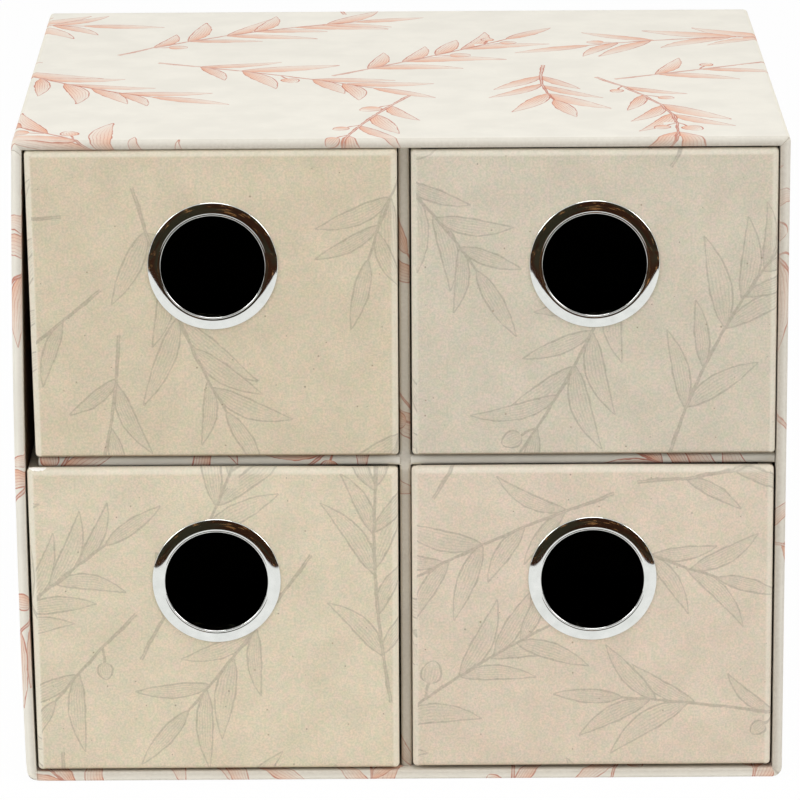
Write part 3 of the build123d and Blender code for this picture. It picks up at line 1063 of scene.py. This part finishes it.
class DrawerWrap:
    def __init__(self, name):
        low, high = box_in_mm(name + "_wrap")
        ring_low, ring_high = box_in_mm(name + "_finger_ring")
        self.name = name
        self.lean = drawer_lean.get(name, 0.0)
        self.slack, self.front_lift = slack.get(name, 0.0), front_lift.get(name, (0.0, 0.0))
        # How much paler each corner's fold is, front left, back left, back right, front right: rubbed
        # wear and a painted highlight, brightest on the left drawers' left edge, where most light falls.
        self.edge_rub = (1.0 if name.endswith("left") else 0.5, 0.5, 0.5, 0.7)
        self.foot_painted_shade = 1.0 if "upper" in name else 0.3  # painted shade under the lowest fold, deepest on the upper drawers over the shelf
        self.low, self.high = low, high
        self.height = high.z - low.z
        left = low.x + self.lean  # of the bottom
        self.ring = Vector(((ring_low.x + ring_high.x) / 2, (ring_low.z + ring_high.z) / 2))
        self.half = ((high.x - left) / 2, (high.y - low.y) / 2)
        self.middle = Vector(((high.x + left) / 2, (high.y + low.y) / 2))
        self.loop = Loop(*self.half, (face_fold, side_fold, side_fold, face_fold), self.loop_cuts())

    def loop_cuts(self):
        """Columns on the left, back, right and front. On the front, two lie beside the ring."""
        side, back = even(count_for(2 * self.half[1])), even(count_for(2 * self.half[0]))
        start, end = self.half[0] - face_fold, -self.half[0] + face_fold
        centre = self.ring.x - self.middle.x
        keys = [start, start - rub_fade, centre + patch_reach, centre - patch_reach, end + rub_fade, end]
        return [side, back, side, self.shares(keys)]

    def shares(self, keys):
        """Even steps between key places on a leg, as shares of the leg."""
        places = []
        for a, b in zip(keys, keys[1:]):
            count = count_for(abs(b - a))
            places += [a + (b - a) * step / count for step in range(count)]
        return [(p - keys[0]) / (keys[-1] - keys[0]) for p in places[1:]]

    def section(self, depth, fold):
        low, high = self.low.z, self.high.z
        keys = [low + face_fold, low + face_fold + rub_fade, self.ring.y - patch_reach]
        keys += [self.ring.y + patch_reach, high - face_fold - rub_fade, high - face_fold]
        cuts = [even(4), self.shares(keys), (), even(2)]
        return wrap_section(under_margin, low, high, drawer_turn_in, fold, depth, cuts)

    def fold_at(self, column):
        """The fold's radius: widest on the front, and between on the turn of its two corners."""
        corner, _, share, _ = self.loop.stations[column]
        if share:
            return face_fold if corner == 3 else side_fold
        return corner_fold if corner in (0, 3) else side_fold

    def place(self, column, profile_point):
        """Where a spot of the wrap goes, with the left wall's lean and the slack folds."""
        inset, z = profile_point
        a, b = self.loop.point(column, inset)
        risen = (z - self.low.z) / self.height
        a -= (self.lean * risen + self.slack) * (self.half[0] - a) / (2 * self.half[0])
        fallen = held_to_share(((a + self.half[0]) / (2 * self.half[0]) - fall_start) / fall_length)
        lift = self.front_lift[0] + (self.front_lift[1] - self.front_lift[0]) * fallen
        at_front = held_to_share(wall + 1.0 - b - self.half[1])
        z += lift * at_front * held_to_share((risen - lift_start) / lift_length)
        return Vector((self.middle.x + a, self.middle.y + b, z))

    def make(self, seed):
        columns = len(self.loop.stations)
        outer = [self.section(0.0, self.fold_at(c)) for c in range(columns)]
        inner = [self.section(paper_thickness, self.fold_at(c)) for c in range(columns)]
        lengths = run_lengths(self.section(0.0, side_fold))
        loop_start = self.loop.lengths[-1]
        sheet = Sheet()

        def spot(column, row):
            x_in, z = outer[column][row]
            # Paler folds, rubbed and painted with highlight, on the corners and the rim; painted shade
            # under the lowest fold.
            on_rim = self.high.z - z < rim_reach and x_in < rim_reach
            at_rim = 1.0 if on_rim else 0.3 * (x_in > rim_reach)
            at_edge = max(self.loop.turning(column), 0.7 * self.loop.at_corner(column))
            rub = max(self.edge_rub[self.loop.stations[column][0]] * at_edge, 0.5 * at_rim)
            foot_painted_shade = self.foot_painted_shade if z - self.low.z < foot_painted_shade_reach else 0.0
            flat = (loop_start - self.loop.lengths[column], lengths[row])
            front, back = (self.place(column, p[column][row]) for p in (outer, inner))
            return flat, front, back, rub, foot_painted_shade

        def in_patch(column, row):
            low_point, high_point = outer[column][row], outer[column][row + 1]
            on_wall = low_point.x < 0.01 and high_point.x < 0.01
            if self.loop.stations[column][3] != 3 or not on_wall:
                return False
            ends = [self.loop.point(c, 0.0).x for c in (column, column + 1)]
            middle = Vector((self.middle.x + sum(ends) / 2, (low_point.y + high_point.y) / 2))
            away = middle - self.ring
            return max(abs(away.x), abs(away.y)) < patch_reach

        grid = sheet.add_grid(columns, len(outer[0]), spot, in_patch)
        self.add_hole_patch(sheet, grid, in_patch)
        self.add_underside(sheet)
        strokes = scatter_sprigs(loop_start, lengths[-1], drawer_style, seed)
        piece = sheet.make(self.name + "_wrap_sheet", drawer_papers[self.name], strokes)
        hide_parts(self.name + "_wrap")
        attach(piece, "drawer_" + self.name)

    def add_hole_patch(self, sheet, grid, in_patch):
        """Rings of faces from the square gap in the grid to the round hole."""
        gap = [(c, r) for c in range(len(grid) - 1) for r in range(len(grid[0]) - 1) if in_patch(c, r)]
        c0, c1 = min(c for c, r in gap), max(c for c, r in gap) + 1
        r0, r1 = min(r for c, r in gap), max(r for c, r in gap) + 1
        square = [grid[c][r0] for c in range(c0, c1)] + [grid[c1][r] for r in range(r0, r1)]
        square += [grid[c][r1] for c in range(c1, c0, -1)] + [grid[c0][r] for r in range(r1, r0, -1)]
        rings = [square]
        corner_flat = sheet.flat[square[0]]
        corner_front = sheet.front[square[0]]
        for ring in range(1, patch_rings + 1):
            share = ring / patch_rings
            made = []
            for spot in square:
                away = Vector((sheet.front[spot].x, sheet.front[spot].z)) - self.ring
                rim = self.ring + away.normalized() * hole_radius
                x, z = (self.ring + away).lerp(rim, share)
                rim_flat = corner_flat + Vector((rim.x - corner_front.x, rim.y - corner_front.z))
                flat = sheet.flat[spot].lerp(rim_flat, share)
                y = sheet.front[spot].y
                made.append(sheet.add(flat, (x, y, z), (x, y + paper_thickness, z)))
            rings.append(made)
        for outer, inner in zip(rings, rings[1:]):
            for number in range(len(square)):
                after = (number + 1) % len(square)
                sheet.faces.append((outer[number], inner[number], inner[after], outer[after]))

    def add_underside(self, sheet):
        """The plain panel of paper under the bottom, inside the turned-under margin."""
        columns, rows = 8, 16
        half = [h - under_margin for h in self.half]
        z = self.low.z

        def spot(column, row):
            x = self.middle.x + half[0] * (2 * column / columns - 1)
            y = self.middle.y + half[1] * (2 * row / rows - 1)
            return (x - off_the_print, y), (x, y, z), (x, y, z + paper_thickness)

        sheet.add_grid(columns + 1, rows + 1, spot)


for seed, name in enumerate(drawer_tones_and_painted_light, 31):
    DrawerWrap(name).make(seed)

# %% [markdown]
# ## A torn fold
# The paper on the lower left drawer is torn at its upper left corner, and the white core of the
# sheet shows there. It is a ragged sliver that lies on the fold.

# %% The sliver of torn paper
torn_length, torn_start = 4.2, 0.5  # mm, and how far in from the corner
torn_steps, torn_rings = 24, 5
torn_top, torn_foot = 78, 66  # degrees up the fold, at the sliver's upper edge and its ends
torn_drop, torn_raggedness = 38, 20  # how much lower it reaches in the middle, and at random
torn_outside, torn_inside = 0.09, 0.06  # mm off the fold and sunk into it


def make_torn_sliver(wrap):
    centre_y = front_y + face_fold
    centre_z = wrap.high.z + wrap.front_lift[0] - face_fold
    left = wrap.low.x - wrap.slack + torn_start
    sheet = Sheet()

    def spot(column, row):
        along = column / (torn_steps - 1)
        ragged = noise.noise(Vector((column * 0.7, 3.0, 0.0)))
        dropped = torn_drop * max(0.0, math.sin(math.pi * along)) ** 0.5
        lowest = torn_foot - dropped - torn_raggedness * ragged
        angle = math.radians(lowest + (torn_top - lowest) * row / (torn_rings - 1))
        x = left + torn_length * along
        outward = Vector((0.0, -math.cos(angle), math.sin(angle)))
        centre = Vector((x, centre_y, centre_z))
        front = centre + outward * (face_fold + torn_outside + 0.04 * ragged)
        return (x, row), front, centre + outward * (face_fold - torn_inside)

    sheet.add_grid(torn_steps, torn_rings, spot)
    piece = sheet.make("torn_sliver", paper_material("torn_paper", colour(252, 249, 242)))
    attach(piece, "drawer_" + wrap.name)


make_torn_sliver(DrawerWrap("lower_left"))
print("torn sliver of", torn_length, "mm")

# %% [markdown]
# ## The finger rings
# A finger ring is a pressed eyelet. Its flange is a shallow dome with a fine groove before the
# inner bead, and its barrel goes through the board and is rolled over a washer. It is a turned
# shape, so one profile is spun round the axis. Plating shows every facet as a broken highlight,
# so it is spun in many steps.

# %% Spin the rings
ring_bore, ring_outer = 12.35, 15.55  # radii
ring_proud = 1.0
barrel = ring_bore + 0.32
ring_steps = 160
ring_crease = math.radians(40)


def arc_through(a, b, c, steps):
    """Points on the circle through a, b and c, from a up to but not at c."""
    a, b, c = Vector(a), Vector(b), Vector(c)
    d = 2 * (a.x * (b.y - c.y) + b.x * (c.y - a.y) + c.x * (a.y - b.y))
    sq = [p.length_squared for p in (a, b, c)]
    x = (sq[0] * (b.y - c.y) + sq[1] * (c.y - a.y) + sq[2] * (a.y - b.y)) / d
    y = (sq[0] * (c.x - b.x) + sq[1] * (a.x - c.x) + sq[2] * (b.x - a.x)) / d
    centre = Vector((x, y))
    start, end = (math.atan2(p.y - y, p.x - x) for p in (a, c))
    via = math.atan2(b.y - y, b.x - x)
    turn = (end - start) % (2 * math.pi)
    if (via - start) % (2 * math.pi) > turn:
        turn -= 2 * math.pi
    radius = (a - centre).length
    angles = [start + turn * step / steps for step in range(steps)]
    return [centre + towards(angle) * radius for angle in angles]


def ring_profile():
    """Radius and distance behind the drawer's face, round the ring's section. The flange is
    highest beside the lip and falls away outwards, ever steeper."""
    edge_low = (ring_outer, 0.0)
    edge_high = (ring_outer - 0.30, -0.42)
    crest = (barrel + 0.40, -ring_proud)
    groove = (barrel + 0.16, -0.94)
    lip_top = (barrel - 0.08, -0.985)
    lip_low = (ring_bore, -0.66)
    y_washer = 2.9
    y_end = y_washer + 0.7
    points = arc_through(edge_low, (ring_outer - 0.06, -0.26), edge_high, 6)
    points += arc_through(edge_high, (barrel + 1.50, -0.80), crest, 14)
    points += arc_through(crest, (barrel + 0.27, -0.975), groove, 3)
    points += arc_through(groove, (barrel + 0.05, -0.96), lip_top, 3)
    points += arc_through(lip_top, (ring_bore + 0.08, -0.90), lip_low, 6)
    points += [Vector((ring_bore, y)) for y in (-0.66, 0.6, 1.8)]
    points += arc_through((ring_bore, y_washer), (ring_bore + 0.39, y_end), (ring_bore + 0.91, y_end), 6)
    points += [Vector((ring_bore + 0.91, y_end)), Vector((ring_bore + 1.3, y_washer))]
    points += [Vector((barrel, y_washer)), Vector((barrel, 0.0))]
    return points


def spin_ring(name):
    low, high = box_in_mm(name + "_finger_ring")
    centre = Vector(((low.x + high.x) / 2, front_y, (low.z + high.z) / 2))
    profile = ring_profile()
    size = len(profile)
    points, faces = [], []
    for step in range(ring_steps):
        out = towards(2 * math.pi * step / ring_steps)
        points += [(centre + Vector((r * out.x, y, r * out.y))) * MM for r, y in profile]
        here, following = step * size, (step + 1) % ring_steps * size
        for number in range(size):
            after = (number + 1) % size
            faces.append((here + number, here + after, following + after, following + number))
    mesh = bpy.data.meshes.new(name + "_ring")
    mesh.from_pydata(points, [], faces)
    mesh.shade_smooth()
    mesh.set_sharp_from_angle(angle=ring_crease)
    piece = add_object(name + "_ring", mesh, plating)
    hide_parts(name + "_finger_ring")
    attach(piece, "drawer_" + name)


for name in drawer_tones_and_painted_light:
    spin_ring(name)
print("rings spun with", len(ring_profile()), "points in", ring_steps, "steps")

# %% [markdown]
# ## Floor, light and background
# The photograph is a cut-out on white, in soft light from above and in front. The floor is a
# white card. For the camera it is mostly its own white, with a little of the lit card mixed in,
# so that the object keeps a faint shadow. A dark card over the camera is there for the rings
# alone: a mirror needs something dark to reflect, or it reads as grey paint.


# %% Floor and backdrop
own_white = 0.97  # how much of the floor that the camera sees is plain white


def make_card(name, corners, faces, material):
    mesh = bpy.data.meshes.new(name)
    mesh.from_pydata(corners, [], faces)
    card = add_object(name, mesh, material)
    return card


def floor_material():
    material, w, shader = new_material("white_floor")
    shader.inputs["Base Color"].default_value = (0.92, 0.92, 0.92, 1)
    shader.inputs["Roughness"].default_value = 0.9
    glow = w.node("Emission", (1, 1, 1, 1), 1.0)
    path = w.node("LightPath").outputs
    mirrored = w.math("MAXIMUM", path["Is Glossy Ray"], path["Is Transmission Ray"])
    share = w.math("MAXIMUM", w.times(path["Is Camera Ray"], own_white), mirrored)
    mix = w.node("MixShader", share, shader.outputs[0], glow.outputs[0])
    output = material.node_tree.nodes["Material Output"]
    w.feed(output.inputs[0], mix.outputs[0])
    return material


reach = 3.0  # metres
floor_corners = [(-reach, -reach, 0), (reach, -reach, 0), (reach, reach, 0), (-reach, reach, 0)]
make_card("floor", floor_corners, [(0, 1, 2, 3)], floor_material())
print("white floor of", 2 * reach, "metres")

# %% Sky and softboxes
world_light = 0.45


def set_world():
    world = bpy.data.worlds.new("studio")
    world.use_nodes = True
    bpy.context.scene.world = world
    w = Wiring(world.node_tree)
    path = w.node("LightPath").outputs
    mirrored = w.math("MAXIMUM", path["Is Glossy Ray"], path["Is Transmission Ray"])
    seen = w.math("MAXIMUM", path["Is Camera Ray"], mirrored)
    background = world.node_tree.nodes["Background"]
    background.inputs[0].default_value = (1, 1, 1, 1)
    w.feed(background.inputs[1], w.plus(world_light, w.times(seen, 1.0 - world_light)))


set_world()


def add_softbox(name, place, target, size, power):
    data = bpy.data.lights.new(name, "AREA")
    data.shape = "SQUARE"
    data.size = size
    data.energy = power
    lamp = bpy.data.objects.new(name, data)
    lamp.location = place
    lamp.rotation_euler = (Vector(target) - Vector(place)).to_track_quat("-Z", "Y").to_euler()
    bpy.context.scene.collection.objects.link(lamp)


aim = (0, 0, 0.08)
softboxes = {  # place and size in metres, and power in watts
    "softbox_above": ((0.0, -0.35, 1.7), 0.9, 9.0),
    "softbox_left": ((-1.45, -0.95, 1.0), 0.8, 10.5),
    "softbox_right": ((1.45, -0.95, 1.0), 0.8, 9.5),
}
for name, (place, size, power) in softboxes.items():
    add_softbox(name, place, aim, size, power)
print("lit by", len(softboxes), "softboxes and a sky of", world_light)

# %% [markdown]
# ## The room that the rings mirror
# The upper half of each ring mirrors the dark room behind the camera, and the lower half mirrors
# the white table. A dark card starts on the floor in front of the white part and climbs behind
# the camera. It is brown and green in broad patches, with a few warm lamps. Only mirror rays
# see it, so it takes no light from the paper.

# %% Dark card for the rings
card_foot, card_back, card_top = -0.36, -1.5, 1.4  # y, y and z in metres
card_half = 2.2
card_lift = 0.001  # above the floor
brown, green, lamplight = (0.042, 0.017, 0.009, 1), (0.036, 0.032, 0.020, 1), (0.5, 0.24, 0.09, 1)


def dark_room_material():
    material, w, shader = new_material("dark_room")
    room = w.node("TexCoord").outputs["Object"]
    walls = w.step(w.cloud(room, 700.0, 1.0).outputs[0], 0.42, 0.58)
    lamps = w.step(w.cloud(room, 160.0, 2.0).outputs[0], 0.66, 0.7)
    w.feed(shader.inputs["Base Color"], w.blend(lamps, w.blend(walls, green, brown), lamplight))
    shader.inputs["Roughness"].default_value = 1.0
    shader.inputs["Specular IOR Level"].default_value = 0.0
    return material


card_edges = ((card_foot, card_lift), (card_back, card_lift), (card_back, card_top))
card_corners = [(x, y, z) for y, z in card_edges for x in (-card_half, card_half)]
card_faces = [(0, 1, 3, 2), (2, 3, 5, 4)]
card = make_card("dark_room_card", card_corners, card_faces, dark_room_material())
card.visible_camera = False
card.visible_diffuse = False
card.visible_shadow = False
card.visible_transmission = False
print("dark card", round(card_foot - card_back, 2), "metres deep and", card_top, "high")
